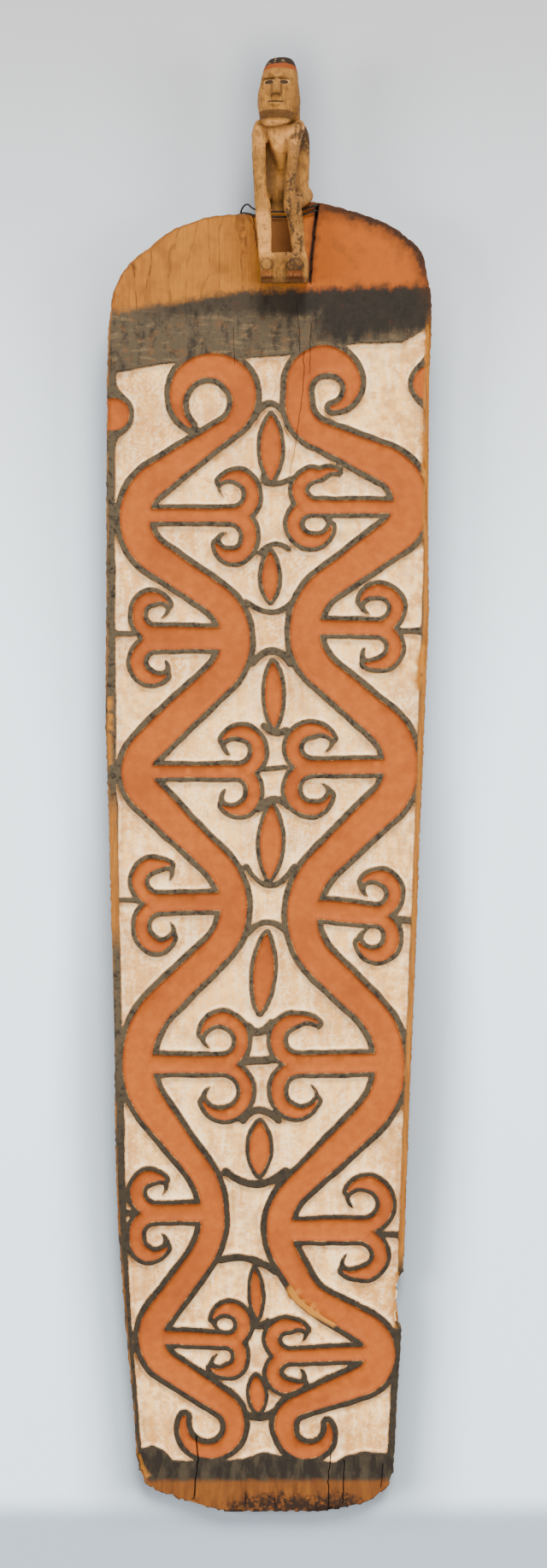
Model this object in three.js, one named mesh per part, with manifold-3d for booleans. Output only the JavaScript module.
// Carved and painted wooden war shield with a squatting figure on its top edge, in millimetres.
// x runs across the shield, y up it towards the figure, z out of the painted face.
import * as THREE from 'three';
import { mergeVertices } from 'three/addons/utils/BufferGeometryUtils.js';
import Module from 'manifold-3d';

const wasm = await Module();
wasm.setup();

// the plank
const plankThick = 25;
const groundDepth = 5;
const channelDepth = 2.2;
const mainRidge = 8;
const scrollRidge = 6.4;
const lensRidge = 5.8;
const scrollHalf = 7.4;
const faceTop = plankThick;
const groundTop = plankThick - groundDepth;
const channelTop = plankThick - channelDepth;

// the carved grip behind the plank
const gripCentre = { across: -4, up: 950 };
const gripLength = 172;
const gripWidth = 36;
const gripBar = 16;
const gripPost = 26;
const gripReach = 34;
const scoopDepth = 10;
const scoopWidth = 84;
const restTilt = Math.atan(gripReach / gripCentre.up);

// left and right edges, rising: [up, left, right]
const sideRows = [
  [54.1, -160.1, 153.7],
  [75.3, -166.4, 154.8],
  [128.3, -169.6, 156.9],
  [191.9, -176, 161.1],
  [229, -179.1, 163.2],
  [350.9, -188.7, 167.5],
  [478.1, -192.9, 171.7],
  [605.3, -192.9, 177],
  [732.5, -197.2, 182.3],
  [859.7, -200.3, 186.6],
  [986.9, -204.6, 191.9],
  [1114.1, -203.5, 197.2],
  [1241.3, -203.5, 196.1],
  [1400.3, -202.5, 197.2],
  [1463.9, -201.4, 200.3],
  [1511.6, -196.1, 200.3],
];
// the bite out of the right edge, between its fifth and sixth rows
const edgeBite = [[157.3, 233], [156.2, 262], [159, 291], [165.2, 296]];
// rounded top, right end first, with the step under the figure
const topEdge = [
  [195, 1535.9], [190.8, 1557.1], [184.4, 1570.9], [171.7, 1581.5], [156.9, 1593.2], [141, 1601.7],
  [126.1, 1608], [106, 1614.4], [84.8, 1620.7], [57.2, 1627.1], [-12, 1626], [-14, 1612.3],
  [-54.1, 1611.2], [-79.5, 1608], [-115.5, 1595.3], [-135.7, 1582.6], [-150.5, 1569.9],
  [-167.5, 1557.1], [-180.2, 1544.4], [-189.7, 1527.5],
];
// broken lower end, left end first
const bottomEdge = [
  [-165.4, 62.5], [-159, 47.7], [-152.6, 32.9], [-135.7, 23.3], [-120.8, 21.2], [-106, 14.8],
  [-82.7, 9.5], [-57.2, 1], [-27.6, 0.5], [4.2, 0], [38.2, 0], [68.9, 0.6], [94.3, 6.4],
  [119.8, 12.7], [139.9, 23.3], [146.3, 33.9], [152.6, 46.6],
];
// lower edge of the bare and black top zone, and upper edge of the bottom zone, left to right
const topZoneEdge = [[-230, 1412], [-190.8, 1414], [-133.6, 1424.6], [-17, 1433.1], [20.1, 1436.3],
  [110.2, 1450.1], [163.2, 1451.1], [192.9, 1468.1], [230, 1470]];
const bottomZoneEdge = [[-230, 80], [-160.1, 78.4], [-146.3, 83.7], [-133.6, 78.4], [-119.8, 64.7],
  [-35, 66.8], [-6.4, 75.3], [20.1, 68.9], [80.6, 62.5], [91.2, 70], [115.5, 76.3], [147.3, 73.1],
  [230, 73]];
// inner edges of the raised border strips: [up, left, right]
const borderRows = [[60, -158, 147], [300, -176, 160], [610, -183, 170], [900, -190, 181],
  [1200, -192, 191.5], [1480, -190, 193.5]];
const borderDiscs = [
  { across: -195, up: 1363.2, radius: 20, ridge: 7, flare: 44 },
  { across: 200, up: 1401, radius: 22, ridge: 7, flare: 44 },
];

// meander bands: corners are [across, up, turning radius, half width of the red channel]
const bands = [
  {
    corners: [
      [-212.4, 1232.8, 58.3, 18], [-4.2, 1091.8, 64.7, 17.5], [-183.4, 921.1, 39.2, 18.6],
      [-11.7, 751.5, 76.3, 15.9], [-198.2, 570.3, 99.6, 18], [-45.6, 368.9, 97.5, 13.8],
      [-167.5, 206.7, 43.5, 14.8],
    ],
    top: { eye: [-73.4, 1381.4], radii: [42, 43, 41.5, 40.5], tip: 232, turn: 1, halves: [2, 13, 17, 10.6] },
    bottom: { eye: [-76.6, 108.3], radii: [31.5, 33, 33], tip: 162, turn: -1, halves: [2, 8, 10, 13] },
  },
  {
    corners: [
      [33.9, 1350.4, 42.4, 14.8], [229, 1263.5, 53, 21.2], [-4.2, 1100.3, 72.1, 17.5],
      [198.2, 930.7, 70, 20.1], [-2.1, 741.5, 90.1, 18], [195, 557.6, 99.6, 17.5],
      [-7.4, 364.6, 118.7, 14.8], [48.8, 268.2, 63.6, 13.8], [187.6, 190.8, 43.5, 17],
      [14, 124, 26.5, 11.7],
    ],
    top: { eye: [69.7, 1394], radii: [24, 34, 38, 36], tip: -72, turn: -1, halves: [2, 9, 17, 13.2] },
    bottom: { eye: [47.9, 105.2], radii: [24, 28.5, 30, 30], tip: 14, turn: 1, halves: [2, 7, 9.5, 10.6] },
  },
];
// paired scrolls: root across, stem height at root and tip, stem half, then for the upper and the
// lower scroll [eye across, eye up, side radius, end radius, tip across, tip up]
const scrollPairs = [
  [-173.8, 1237.8, 1237.8, 8,
    [-43.5, 1264.2, 21.2, 22.7, -60.6, 1277.3], [-46.9, 1206.7, 21.4, 20.1, -64.1, 1203.1]],
  [168.5, 1248, 1248, 7.4,
    [61.5, 1269.9, 26.8, 18, 82.4, 1290.5], [52.5, 1227.5, 23.9, 22.3, 73.1, 1224.3]],
  [-41, 1085.1, 1085.1, 13.8,
    [-145.8, 1117.2, 17.8, 18, -128.5, 1125.7], [-142.3, 1055.2, 23.1, 20.7, -131.4, 1040.9]],
  [34.5, 1099.9, 1097.7, 8,
    [130.9, 1124.1, 27, 20.1, 115.5, 1130], [131.4, 1073.6, 24.4, 21, 119.8, 1055.8]],
  [-160.1, 919.6, 919.6, 7.4,
    [-37.6, 946.1, 23.5, 22.8, -56.2, 957.5], [-41.1, 895.5, 21, 24.8, -57.2, 879.4]],
  [168.5, 926.4, 924.7, 8.5,
    [52.3, 949.4, 24.7, 22.6, 75.3, 959.8], [52.3, 896.7, 25.8, 23.6, 71.8, 890.9]],
  [-43.5, 759, 756.3, 10.6,
    [-138.9, 784.9, 24.7, 19.1, -126.1, 801.4], [-136.5, 728.6, 23.5, 26.9, -123, 715.5]],
  [34.5, 750.5, 740.9, 11.1,
    [132.4, 768.9, 22.4, 21.3, 117.7, 781.5], [131.3, 714.9, 20.2, 23.7, 112.4, 708.1]],
  [-165.4, 556, 556, 10.6,
    [-60.6, 582.7, 25.7, 30.5, -82.7, 591.9], [-60.6, 522.4, 31, 29.4, -80.6, 510.9]],
  [153.5, 558.6, 555.8, 11.7,
    [32.4, 586.2, 23.6, 24.7, 57.8, 605.3], [34.6, 525.8, 24.8, 30.4, 56.2, 513.1]],
  [-69, 372.1, 371.2, 10.6,
    [-143.4, 399.4, 22.5, 16.7, -132.5, 410.2], [-148, 342, 18.4, 23.6, -131.4, 329.3]],
  [14.8, 350, 350, 12.7,
    [116.1, 383.3, 28.1, 25.9, 98.6, 396], [110.2, 317.8, 27.1, 21.3, 92.2, 301.8]],
  [-149.5, 217.8, 213.1, 7.4,
    [-50.5, 233, 17.6, 19.8, -67.8, 239.3], [-52.6, 190.1, 15.5, 14.6, -71, 180.6]],
  [136.7, 198.2, 194, 8,
    [24.8, 216.2, 22.9, 15.7, 42.4, 224.7], [26.9, 173.3, 24.1, 16.4, 39.2, 161.8]],
];
// leaf shapes down the middle: [across, up] of both ends, half width of the red channel
const lenses = [
  [1.1, 1363.2, 1.1, 1278.4, 12.7], [0, 1194.6, 0, 1130, 10.1], [3.2, 1055.8, 5.3, 973.1, 11.1],
  [2.1, 877.7, -1.1, 784.4, 13.8], [-4.2, 719.7, -12.7, 620.1, 12.7], [-12.7, 485.5, -13.8, 418.7, 12.2],
  [-19.1, 301, -15.9, 241.7, 6.4], [-18, 169.6, -14.8, 125.1, 8.5],
];
// plain ridges that tie the bands and scrolls together: three points [across, up] and half width
const bars = [
  [-19.1, 1358.9, 0, 1376.9, 21.2, 1358.9, 3.7], [-8.5, 1284.7, 2.1, 1276.2, 28.6, 1283.7, 3.7],
  [-12.7, 1190.4, 4.2, 1202, 23.3, 1195.7, 3.7], [-29.7, 1130, 2.1, 1117.2, 27.6, 1130, 3.7],
  [-22.3, 1053.6, 2.1, 1069.5, 25.4, 1054.7, 4.2], [-8.5, 976.3, 5.3, 967.8, 19.1, 971, 4.2],
  [-13.8, 922.2, 2.1, 923.3, 19.1, 925.4, 2.7], [-13.8, 872.4, 3.2, 885.1, 23.3, 875.6, 3.7],
  [-29.7, 801.4, 0, 778, 29.7, 801.4, 3.7], [-27.6, 719.7, -3.2, 732.5, 21.2, 719.7, 3.7],
  [-27.6, 603.1, -13.8, 595.7, 2.1, 607.4, 4.8], [-33.9, 560.7, -12.7, 560.7, 10.6, 562.9, 5.3],
  [-33.9, 486.5, -13.8, 499.3, 10.6, 486.5, 4.8], [-55.1, 422.9, -17, 407, 19.1, 424, 4.2],
  [-61.5, 312.7, -27.6, 314.8, 6.4, 298.9, 4.2], [-23.3, 236.4, -13.8, 231.1, -2.1, 236.4, 4.2],
  [-37.1, 128.3, -14.8, 117.7, 10.6, 128.3, 4.2],
  [-197.2, 1090.7, -183, 1090.7, -169.6, 1090.7, 3.7], [159, 1094.2, 175, 1094, 191.9, 1093.9, 3.7],
  [-192.9, 760, -178, 760, -163.2, 760, 3.7], [154.8, 736.7, 170, 735, 184.4, 733.5, 3.7],
  [-190.8, 372.1, -179, 371.5, -167.5, 371, 3.7], [134.6, 345.6, 151, 344.5, 168.5, 343.4, 3.7],
];
// shapes that meet the edge run this far past it, and cuts run this far past a face
const pastEdge = 30;
const pastFace = 1;

// splits in the wood: [across, up] from end to end, width, and how deep they reach
const splits = [
  { path: [[58.5, 1632], [57, 1608], [53, 1575], [49, 1528]], width: 3.4, depth: 13 },
  { path: [[-22, 1615], [-18, 1592], [-14, 1560]], width: 1.6, depth: 7 },
  { path: [[-91.4, 92], [-89.2, 68], [-91.2, 51], [-97, 1]], width: 2, depth: 9 },
  { path: [[75.2, 72], [72.5, 40], [72, -2]], width: 1.6, depth: 8 },
  { path: [[92, 64], [91, 35], [89.8, -2]], width: 1.8, depth: 8 },
];

// the figure: head, its flat underside, the ledge, and limbs as rings of [x, y, z, radius across, radius deep]
const headCentre = [10.6, 1764, 34];
const [headAcross, headUp, headOut] = headCentre;
const headRadii = [26, 37, 33];
const chinDrop = 34;
const jawBlock = [90, 40, 90];
const jawTurn = [0.16, 0, 0];
const ledgeCentre = [17, 1536, 41];
const ledgeSize = [60, 28, 44];
const ledgeTurn = [0.05, 0, 0];
const figureLimbs = [
  // nose
  { sides: 6, stations: [[headAcross - 0.6, headUp + 12, headOut + 25, 2.5, 3],
    [headAcross - 2, headUp + 1, headOut + 30, 4, 5], [headAcross - 2.8, headUp - 9, headOut + 32, 6.5, 6],
    [headAcross - 2, headUp - 14, headOut + 26, 5, 5]] },
  // neck and trunk
  { sides: 8, stations: [[headAcross - 0.6, headUp - 12, headOut - 4, 13, 14], [11, 1700, 26, 15, 14]] },
  { sides: 14, stations: [[15, 1724, 20, 18, 12], [15, 1715, 21, 31, 15], [16, 1698, 18, 33, 15],
    [17, 1672, 14.5, 31, 13.5], [17, 1640, 14, 31, 15], [18, 1618, 12.5, 31, 11.5]] },
  // chest, ending in a point over the hollowed belly
  { sides: 8, stations: [[13, 1722, 25, 18, 10], [13, 1706, 28, 21, 15], [12.5, 1692, 27, 10, 13],
    [12.4, 1684, 24, 3, 8]] },
  // arms, down to the knees
  { sides: 8, stations: [[-8, 1719, 28, 7, 8], [-13.5, 1706, 35, 9, 9.5], [-13.4, 1676, 42, 8.4, 8.6],
    [-11.6, 1628, 54, 8.4, 8.4], [-10, 1604, 60, 8, 6]] },
  { sides: 8, stations: [[34, 1719, 28, 8, 8], [32.6, 1706, 35, 9, 9.5], [28, 1676, 42, 8, 8.6],
    [24.4, 1628, 54, 8, 8.4], [26, 1604, 60, 8, 6]] },
  // thighs
  { sides: 8, stations: [[-6, 1640, 12, 12, 11], [-7, 1634, 24, 12, 11], [-8.5, 1618, 54, 10, 10],
    [-8.5, 1616, 60, 7, 8]] },
  { sides: 8, stations: [[38, 1638, 10, 14, 11], [38, 1635, 20, 13.5, 11], [28, 1618, 54, 10, 10],
    [28, 1616, 60, 7, 8]] },
  // shins
  { sides: 8, stations: [[-8.5, 1622, 55, 9, 8], [-8.5, 1612, 56, 9.5, 9], [-6.6, 1570, 53, 8, 8],
    [-6.2, 1543, 52, 7.6, 8]] },
  { sides: 8, stations: [[28, 1622, 55, 9.5, 8], [28.5, 1612, 56, 10, 9], [34.5, 1570, 53, 8.2, 8],
    [35.5, 1543, 52, 8, 8]] },
  // feet
  { sides: 8, stations: [[-4, 1538, 46, 7.6, 8], [-3.6, 1536, 66, 8, 9], [-3.6, 1535, 71, 6, 6]] },
  { sides: 8, stations: [[32, 1538, 46, 9, 8], [30, 1536, 66, 9.8, 9], [29.6, 1535, 71, 7.4, 6]] },
];

// the tie wire, and the slot that it passes through at the top of the long split
const slot = { across: 58, width: 6, depth: 15.4 };
const wireRadius = 1.15;
const wireSides = 6;
const wireSteps = 48;

// how finely curves are cut
const scrollSteps = 7;
const cornerSteps = 4;
const hookSteps = 10;
const scoopSides = 14;
const slimmest = 0.05;

const radians = (degrees) => degrees * Math.PI / 180;

function solid(geometry) {
  const plain = geometry.clone();
  plain.deleteAttribute('normal');
  plain.deleteAttribute('uv');
  const welded = mergeVertices(plain, 1e-4);
  return new wasm.Manifold(new wasm.Mesh({
    numProp: 3,
    vertProperties: Float32Array.from(welded.attributes.position.array),
    triVerts: Uint32Array.from(welded.index.array),
  }));
}

function joined(list) {
  let layer = list;
  while (layer.length > 1) {
    const next = [];
    for (let i = 0; i < layer.length; i += 2) {
      next.push(i + 1 < layer.length ? layer[i].add(layer[i + 1]) : layer[i]);
    }
    layer = next;
  }
  return layer[0];
}

const drawn = (points) => points.map(([x, y]) => new THREE.Vector2(x, y));
const areaOf = (points) => Math.abs(THREE.ShapeUtils.area(drawn(points)));

// an outline raised between two heights; where the outline laps over itself, both laps count
function prism(points, low, high) {
  const pieces = new wasm.CrossSection([points], 'NonZero').decompose().map((piece) => {
    const [rim, ...holes] = piece.toPolygons().sort((a, b) => areaOf(b) - areaOf(a));
    const shape = new THREE.Shape(drawn(rim));
    shape.holes = holes.map((hole) => new THREE.Path(drawn(hole)));
    const geometry = new THREE.ExtrudeGeometry(shape, { depth: high - low, bevelEnabled: false });
    geometry.translate(0, 0, low);
    return solid(geometry);
  });
  return joined(pieces);
}

// outline of a stroke that follows a path with a half width at each of its points
function strokeOutline(path, halves, extra, roundTip) {
  const left = [];
  const right = [];
  path.forEach((point, i) => {
    const a = path[Math.max(0, i - 1)];
    const b = path[Math.min(path.length - 1, i + 1)];
    const length = Math.hypot(b[0] - a[0], b[1] - a[1]);
    const nx = -(b[1] - a[1]) / length;
    const ny = (b[0] - a[0]) / length;
    const half = halves[i] + extra;
    left.push([point[0] + nx * half, point[1] + ny * half]);
    right.push([point[0] - nx * half, point[1] - ny * half]);
  });
  const outline = [...left, ...right.reverse()];
  if (roundTip) {
    const [a, b] = [path[1], path[0]];
    const length = Math.hypot(b[0] - a[0], b[1] - a[1]);
    const reach = halves[0] + extra;
    outline.push([b[0] + (b[0] - a[0]) / length * reach, b[1] + (b[1] - a[1]) / length * reach]);
  }
  return outline;
}

// a path through corners, each rounded with its own radius: [across, up, radius, half width]
function roundedPath(corners, steps) {
  const path = [];
  const halves = [];
  corners.forEach(([x, y, radius, half], i) => {
    if (i === 0 || i === corners.length - 1) {
      path.push([x, y]);
      halves.push(half);
      return;
    }
    const here = new THREE.Vector2(x, y);
    const back = new THREE.Vector2(corners[i - 1][0], corners[i - 1][1]).sub(here);
    const ahead = new THREE.Vector2(corners[i + 1][0], corners[i + 1][1]).sub(here);
    const half1 = i > 1 ? back.length() * 0.5 : back.length() * 0.98;
    const half2 = i < corners.length - 2 ? ahead.length() * 0.5 : ahead.length() * 0.98;
    back.normalize();
    ahead.normalize();
    const opening = Math.acos(THREE.MathUtils.clamp(back.dot(ahead), -1, 1)) / 2;
    const reach = Math.min(radius / Math.tan(opening), half1, half2);
    const round = reach * Math.tan(opening);
    const middle = back.clone().add(ahead).normalize().multiplyScalar(round / Math.sin(opening)).add(here);
    const from = here.clone().addScaledVector(back, reach).sub(middle);
    const to = here.clone().addScaledVector(ahead, reach).sub(middle);
    const start = from.angle();
    let sweep = to.angle() - start;
    sweep = ((sweep + Math.PI * 3) % (Math.PI * 2)) - Math.PI;
    for (let k = 0; k <= steps; k += 1) {
      const angle = start + sweep * k / steps;
      path.push([middle.x + round * Math.cos(angle), middle.y + round * Math.sin(angle)]);
      halves.push(half);
    }
  });
  return { path, halves };
}

function blend(values, t) {
  const place = t * (values.length - 1);
  const i = Math.min(values.length - 2, Math.floor(place));
  return values[i] + (values[i + 1] - values[i]) * (place - i);
}

// a band's end: from its tip round the eye to the point where the straight part leaves
function hookPath(hook, corner, steps) {
  const last = hook.radii[hook.radii.length - 1];
  const dx = corner[0] - hook.eye[0];
  const dy = corner[1] - hook.eye[1];
  const lean = Math.acos(Math.min(1, last / Math.hypot(dx, dy)));
  const leave = Math.atan2(dy, dx) + hook.turn * lean;
  const tip = radians(hook.tip);
  const turn = -hook.turn;
  const full = Math.PI * 2;
  const sweep = ((((leave - tip) * turn) % full) + full) % full * turn;
  const path = [];
  const halves = [];
  for (let k = 0; k <= steps; k += 1) {
    const t = k / steps;
    const angle = tip + sweep * t;
    const radius = blend(hook.radii, t);
    path.push([hook.eye[0] + radius * Math.cos(angle), hook.eye[1] + radius * Math.sin(angle)]);
    halves.push(blend(hook.halves, t));
  }
  return { path, halves };
}

// the hook with a short run into the straight part, so that the two overlap
function hookStroke(hook, corner, extra) {
  const { path, halves } = hookPath(hook, corner, hookSteps);
  const end = path[path.length - 1];
  const length = Math.hypot(corner[0] - end[0], corner[1] - end[1]);
  const run = Math.min(9, length * 0.4);
  const half = halves[halves.length - 1];
  path.push([end[0] + (corner[0] - end[0]) / length * run, end[1] + (corner[1] - end[1]) / length * run]);
  halves.push(half - 0.6);
  return strokeOutline(path, halves, extra, true);
}

function bandStrokes(band, extra) {
  const first = hookPath(band.top, band.corners[0], hookSteps);
  const final = hookPath(band.bottom, band.corners[band.corners.length - 1], hookSteps);
  const start = first.path[first.path.length - 1];
  const stop = final.path[final.path.length - 1];
  const ends = [
    [start[0], start[1], 0, first.halves[first.halves.length - 1]],
    [stop[0], stop[1], 0, final.halves[final.halves.length - 1]],
  ];
  const { path, halves } = roundedPath([ends[0], ...band.corners, ends[1]], cornerSteps);
  return [
    strokeOutline(path, halves, extra, false),
    hookStroke(band.top, band.corners[0], extra),
    hookStroke(band.bottom, band.corners[band.corners.length - 1], extra),
  ];
}

// one scroll: from its tip round the eye to the stem
function scrollPath(eye, stemUp, stemHalf, way, side, steps) {
  const [across, up, sideRadius, endRadius, tipAcross, tipUp] = eye;
  const rootUp = stemUp + way * (stemHalf - scrollHalf);
  const rootRadius = Math.abs(up - rootUp);
  const tipAngle = Math.atan2((tipUp - up) * way, (tipAcross - across) * side);
  const sweep = Math.PI / 2 + (tipAngle < 0 ? tipAngle + Math.PI * 2 : tipAngle);
  const tipRadius = Math.hypot(tipUp - up, tipAcross - across) + 3;
  const path = [];
  const halves = [];
  for (let k = 0; k <= steps; k += 1) {
    const turned = sweep * (1 - k / steps);
    const quarter = turned / (Math.PI / 2);
    let radius = tipRadius;
    if (quarter < 1) radius = THREE.MathUtils.lerp(rootRadius, sideRadius, quarter);
    else if (quarter < 2) radius = THREE.MathUtils.lerp(sideRadius, endRadius, quarter - 1);
    else radius = THREE.MathUtils.lerp(endRadius, tipRadius, (quarter - 2) / (sweep / (Math.PI / 2) - 2));
    const angle = turned - Math.PI / 2;
    path.push([across + side * radius * Math.cos(angle), up + way * radius * Math.sin(angle)]);
    const left = sweep - turned;
    halves.push(scrollHalf * Math.min(1, 0.2 + left / radians(80)));
  }
  return { path, halves };
}

function pairStrokes([rootAcross, rootUp, stemUp, stemHalf, upper, lower], extra) {
  const middle = (upper[0] + lower[0]) / 2;
  const side = Math.sign(middle - rootAcross);
  const strokes = [strokeOutline([[rootAcross, rootUp], [middle, stemUp]],
    [stemHalf - 0.3, stemHalf - 0.3], extra, false)];
  [[upper, 1], [lower, -1]].forEach(([eye, way]) => {
    const steps = extra > 0 ? scrollSteps : scrollSteps - 2;
    const { path, halves } = scrollPath(eye, stemUp, stemHalf, way, side, steps);
    const end = path[path.length - 1];
    path.push([end[0] - side * 5, end[1] - way * 0.4]);
    halves.push(scrollHalf - 0.6);
    strokes.push(strokeOutline(path, halves, extra, extra > 0));
  });
  return strokes;
}

function lensOutline([x0, y0, x1, y1, half], extra) {
  const steps = 6;
  const length = Math.hypot(x1 - x0, y1 - y0);
  const dir = [(x1 - x0) / length, (y1 - y0) / length];
  const points = [[], []];
  for (let k = 0; k <= steps; k += 1) {
    const t = k / steps;
    const along = t * (length + extra * 2) - extra;
    const half2 = (half + extra) * (1 - (2 * t - 1) ** 2);
    const centre = [x0 + dir[0] * along, y0 + dir[1] * along];
    if (k === 0 || k === steps) {
      points[0].push(centre);
    } else {
      points[0].push([centre[0] - dir[1] * half2, centre[1] + dir[0] * half2]);
      points[1].push([centre[0] + dir[1] * half2, centre[1] - dir[0] * half2]);
    }
  }
  return [...points[0], ...points[1].reverse()];
}

function barOutline([x0, y0, xm, ym, x1, y1, half]) {
  const cx = 2 * xm - (x0 + x1) / 2;
  const cy = 2 * ym - (y0 + y1) / 2;
  const path = [];
  for (let k = 0; k <= 3; k += 1) {
    const t = k / 3;
    const [a, b, c] = [(1 - t) ** 2, 2 * t * (1 - t), t * t];
    path.push([a * x0 + b * cx + c * x1, a * y0 + b * cy + c * y1]);
  }
  return strokeOutline(path, path.map(() => half), 0, false);
}

function discOutline(disc, extra) {
  const side = Math.sign(disc.across);
  const points = [];
  const radius = disc.radius + extra;
  for (let k = 0; k <= 10; k += 1) {
    const angle = Math.PI * k / 10 + Math.PI / 2;
    points.push([disc.across + side * radius * Math.cos(angle), disc.up + radius * Math.sin(angle)]);
  }
  const outer = disc.across + side * pastEdge;
  points.push([outer, disc.up - radius], [outer, disc.up + radius]);
  return points;
}

function flareOutline(disc) {
  const side = Math.sign(disc.across);
  const { radius, ridge, flare } = disc;
  const profile = [[-radius, radius * 0.7], [-ridge, radius * 1.2], [ridge / 2, flare], [pastEdge, flare]];
  const lower = profile.map(([x, y]) => [x, -y]).reverse();
  return [...profile, ...lower].map(([x, y]) => [disc.across + side * x, disc.up + y]);
}

// the plank's outline, anticlockwise from the lower left
// height of the top edge at a distance across
function edgeAt(across) {
  const next = topEdge.findIndex(([end]) => end <= across);
  const [[rightEnd, rightUp], [leftEnd, leftUp]] = [topEdge[next - 1], topEdge[next]];
  return rightUp + (leftUp - rightUp) * (across - rightEnd) / (leftEnd - rightEnd);
}

function plankOutline() {
  const points = [...bottomEdge];
  sideRows.forEach(([up, , right], i) => {
    points.push([right, up]);
    if (i === 4) points.push(...edgeBite);
  });
  points.push(...topEdge);
  [...sideRows].reverse().slice(0, -1).forEach(([up, left]) => points.push([left, up]));
  return points;
}

// a tapering limb with rounded ends: stations are [x, y, z, radius across, radius along z]
function limb(stations, sides) {
  const points = [];
  const rings = [];
  const axis = new THREE.Vector3();
  stations.forEach((station, i) => {
    const a = stations[Math.max(0, i - 1)];
    const b = stations[Math.min(stations.length - 1, i + 1)];
    axis.set(b[0] - a[0], b[1] - a[1], b[2] - a[2]).normalize();
    const across = new THREE.Vector3(1, 0, 0).addScaledVector(axis, -axis.x).normalize();
    const front = new THREE.Vector3().crossVectors(axis, across);
    const ring = [];
    for (let k = 0; k < sides; k += 1) {
      const angle = 2 * Math.PI * k / sides;
      ring.push(points.length / 3);
      const u = station[3] * Math.cos(angle);
      const v = station[4] * Math.sin(angle);
      points.push(station[0] + across.x * u + front.x * v, station[1] + across.y * u + front.y * v,
        station[2] + across.z * u + front.z * v);
    }
    rings.push(ring);
  });
  const index = [];
  for (let i = 0; i + 1 < rings.length; i += 1) {
    for (let k = 0; k < sides; k += 1) {
      const n = (k + 1) % sides;
      index.push(rings[i][k], rings[i][n], rings[i + 1][n], rings[i][k], rings[i + 1][n], rings[i + 1][k]);
    }
  }
  for (let k = 1; k + 1 < sides; k += 1) {
    index.push(rings[0][0], rings[0][k + 1], rings[0][k]);
    const last = rings[rings.length - 1];
    index.push(last[0], last[k], last[k + 1]);
  }
  const geometry = new THREE.BufferGeometry();
  geometry.setAttribute('position', new THREE.Float32BufferAttribute(points, 3));
  geometry.setIndex(index);
  return solid(geometry);
}

function box(size, centre, turn = [0, 0, 0]) {
  const geometry = new THREE.BoxGeometry(...size);
  geometry.rotateX(turn[0]);
  geometry.rotateY(turn[1]);
  geometry.rotateZ(turn[2]);
  geometry.translate(...centre);
  return solid(geometry);
}

function ellipsoid(radii, centre, rings, sides) {
  const geometry = new THREE.SphereGeometry(1, sides, rings);
  geometry.scale(...radii);
  geometry.translate(...centre);
  return solid(geometry);
}

// the squatting figure, its feet on a ledge that stands out of the face
function figure() {
  const head = ellipsoid(headRadii, headCentre, 10, 16);
  const jawCentre = [headAcross, headUp - chinDrop - jawBlock[1] / 2, headOut];
  const jawCut = box(jawBlock, jawCentre, jawTurn);
  const limbs = figureLimbs.map(({ sides, stations }) => limb(stations, sides));
  return joined([head.subtract(jawCut), ...limbs, box(ledgeSize, ledgeCentre, ledgeTurn)]);
}

// the grip: a bar on two posts, carved with the plank, and its underside level with the floor
function grip() {
  const half = gripLength / 2;
  const low = gripCentre.up - half;
  const high = gripCentre.up + half;
  const floor = (up) => -up * Math.tan(restTilt);
  const profile = new THREE.Shape();
  const points = [
    [low - 14, 1], [low + 8, floor(low + 8)], [high - 8, floor(high - 8)], [high + 14, 1],
    [high - gripPost + 8, 1], [high - gripPost - 8, floor(high) + gripBar],
    [low + gripPost + 8, floor(low) + gripBar], [low + gripPost - 8, 1],
  ];
  points.forEach(([up, z], i) => (i ? profile.lineTo(up, z) : profile.moveTo(up, z)));
  const geometry = new THREE.ExtrudeGeometry(profile, { depth: gripWidth, bevelEnabled: false });
  geometry.applyMatrix4(new THREE.Matrix4().set(
    0, 0, 1, gripCentre.across - gripWidth / 2,
    1, 0, 0, 0,
    0, 1, 0, 0,
    0, 0, 0, 1,
  ));
  return solid(geometry);
}

// the hollow for the knuckles, in two steps
function scoop() {
  const halfUp = gripLength / 2 - gripPost / 2;
  const hollow = (share, deep) => {
    const ring = [];
    for (let k = 0; k < scoopSides; k += 1) {
      const angle = 2 * Math.PI * k / scoopSides;
      ring.push([gripCentre.across + scoopWidth / 2 * share * Math.cos(angle),
        gripCentre.up + halfUp * share * Math.sin(angle)]);
    }
    return prism(ring, -pastFace, deep);
  };
  return joined([hollow(1, scoopDepth / 2), hollow(0.72, scoopDepth)]);
}

// everything that stands at the full height of the face, and the channels cut into it
const ridges = [];
const channels = [];
bands.forEach((band) => {
  ridges.push(...bandStrokes(band, mainRidge));
  channels.push(...bandStrokes(band, 0));
});
scrollPairs.forEach((pair) => {
  ridges.push(...pairStrokes(pair, scrollRidge));
  channels.push(...pairStrokes(pair, 0));
});
lenses.forEach((lens) => {
  ridges.push(lensOutline(lens, lensRidge));
  channels.push(lensOutline(lens, 0));
});
ridges.push(...bars.map(barOutline));
borderDiscs.forEach((disc) => {
  ridges.push(discOutline(disc, disc.ridge), flareOutline(disc));
  channels.push(discOutline(disc, 0));
});
const [zoneLeft, zoneRight] = [topZoneEdge[0][0], topZoneEdge[topZoneEdge.length - 1][0]];
const zoneTop = Math.max(...topEdge.map(([, up]) => up)) + pastEdge;
const [borderFoot, borderHead] = [-pastEdge, zoneTop];
ridges.push([...topZoneEdge, [zoneRight, zoneTop], [zoneLeft, zoneTop]]);
ridges.push([[zoneLeft, borderFoot], [zoneRight, borderFoot], ...[...bottomZoneEdge].reverse()]);
ridges.push([[zoneLeft, borderFoot], ...borderRows.map(([up, left]) => [left, up]), [zoneLeft, borderHead]]);
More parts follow.
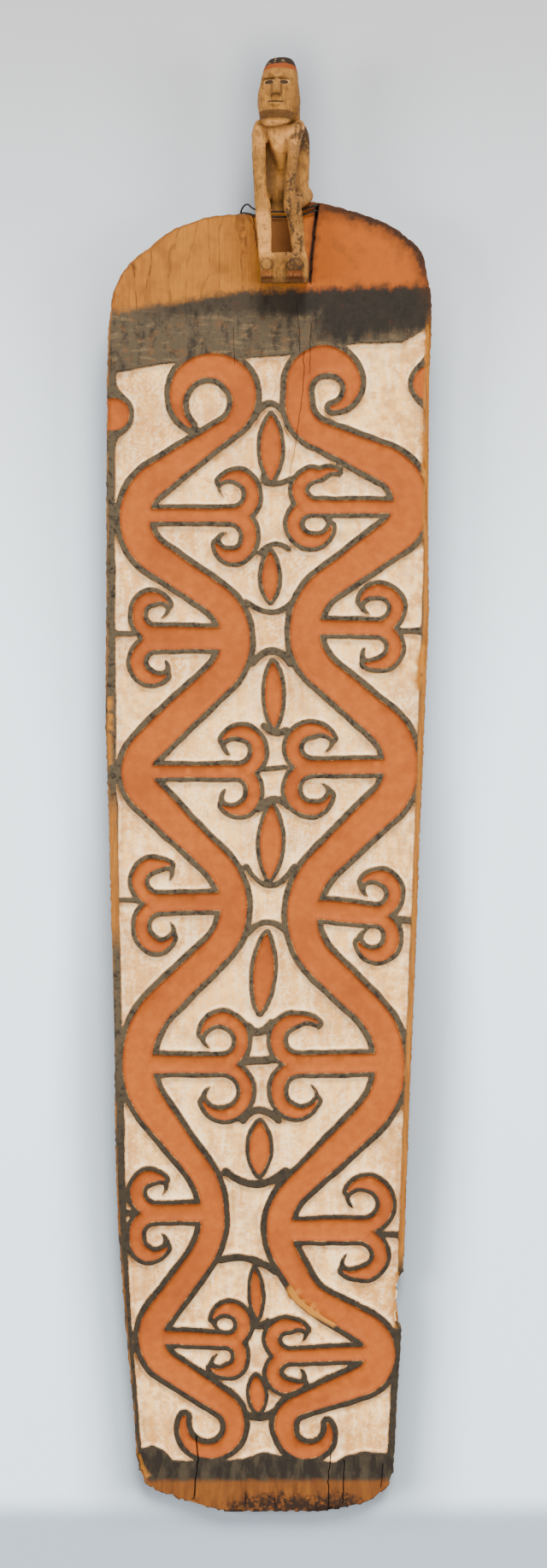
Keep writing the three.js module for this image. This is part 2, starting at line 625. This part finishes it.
ridges.push([...borderRows.map(([up, , right]) => [right, up]), [zoneRight, borderHead],
  [zoneRight, borderFoot]]);

const outline = plankOutline();
const raised = joined(ridges.map((ridge) => prism(ridge, pastFace, faceTop)));
const cutAway = joined(channels.map((channel) => prism(channel, channelTop, faceTop + pastFace)));
const whole = prism(outline, 0, faceTop);
const carved = prism(outline, 0, groundTop).add(raised.intersect(whole)).subtract(cutAway);
const hollowed = carved.add(figure()).subtract(scoop());
const cuts = splits.map(({ path, width, depth }) => {
  const halves = path.map((_, i) => width / 2 * (i === path.length - 1 ? 0.3 : 1));
  return prism(strokeOutline(path, halves, 0, false), faceTop - depth, faceTop + pastFace);
});
const slotFoot = edgeAt(slot.across) - slot.depth;
const slotHead = slotFoot + pastEdge;
const [slotLeft, slotRight] = [slot.across - slot.width / 2, slot.across + slot.width / 2];
cuts.push(prism([[slotLeft, slotFoot], [slotRight, slotFoot], [slotRight, slotHead], [slotLeft, slotHead]],
  -pastFace, faceTop + pastFace));
const shieldBody = hollowed.add(grip()).subtract(joined(cuts)).simplify(slimmest);

// two turns of wire: over the top edge on the left, past the shins, and back through the slot
function wireCurve() {
  const front = faceTop + 3;
  const back = -3;
  const { across } = slot;
  const left = edgeAt(-30.5);
  const turn = (drop, aside) => [
    [-37 - aside, left - 5.9 - drop, back], [-36.5 - aside, left + 2.1 - drop * 0.4, back],
    [-33.5 - aside, left + 9.1, 3], [-30.5 - aside, left + 12.6, faceTop / 2],
    [-27 - aside, left + 10.1, faceTop - 3], [-22, slotFoot + 4.5 - drop, front],
    [-8, slotFoot + 2.5 - drop, front], [16, slotFoot + 2.1 - drop, front],
    [34, slotFoot + 2.5 - drop, front], [across - 13, slotFoot + 6 - drop, front],
    [across - 2.5, slotFoot + 9.5 - drop, front + 0.2], [across, slotFoot + 9.9 - drop, faceTop],
    [across, slotFoot + 9.9 - drop, faceTop / 2], [across, slotFoot + 9.9 - drop, 1],
    [across - 0.4, slotFoot + 9.3 - drop, back - 0.3],
  ];
  return [...turn(0, 0), [across - 8, slotFoot + 4.5, back - 0.6], [30, slotFoot - 5.5, back],
    [0, slotFoot - 13.5, back], [-32, slotFoot - 15.5, back - 0.5], ...turn(6.4, 5.5),
    [across - 8, slotFoot - 2.5, back - 2.2], [across - 18, slotFoot - 7.5, back - 4]];
}

function wire() {
  const stops = wireCurve().map((point) => new THREE.Vector3(...point));
  const extrudePath = new THREE.CatmullRomCurve3(stops, false, 'centripetal');
  const section = new THREE.Shape();
  for (let k = 0; k < wireSides; k += 1) {
    const angle = 2 * Math.PI * k / wireSides;
    const [x, y] = [wireRadius * Math.cos(angle), wireRadius * Math.sin(angle)];
    if (k) section.lineTo(x, y);
    else section.moveTo(x, y);
  }
  return solid(new THREE.ExtrudeGeometry(section, { steps: wireSteps, extrudePath, bevelEnabled: false }));
}

function meshOf(name, body, colour, roughness, metalness) {
  const data = body.getMesh();
  const geometry = new THREE.BufferGeometry();
  const positions = new Float32Array(data.numVert * 3);
  for (let i = 0; i < data.numVert; i += 1) {
    for (let k = 0; k < 3; k += 1) positions[i * 3 + k] = data.vertProperties[i * data.numProp + k];
  }
  geometry.setAttribute('position', new THREE.BufferAttribute(positions, 3));
  geometry.setIndex(Array.from(data.triVerts));
  geometry.computeVertexNormals();
  const material = new THREE.MeshStandardMaterial({ color: colour, roughness, metalness });
  const mesh = new THREE.Mesh(geometry, material);
  mesh.name = name;
  return mesh;
}

// lie the shield on its back: the grip holds the upper part off the floor
const lean = new THREE.Matrix4().makeRotationX(restTilt);
const leanBody = (body) => body.transform(lean.elements);
const laidShield = leanBody(shieldBody);
const laidWire = leanBody(wire());
const bounds = laidShield.boundingBox();
const shift = [
  -(bounds.min[0] + bounds.max[0]) / 2, -(bounds.min[1] + bounds.max[1]) / 2, -bounds.min[2]];

const shield = new THREE.Group();
shield.name = 'war_shield';
shield.add(meshOf('shield', laidShield.translate(shift), 0xb88a62, 0.78, 0));
shield.add(meshOf('tie_wire', laidWire.translate(shift), 0x2b2a2a, 0.5, 0.6));

export default shield;
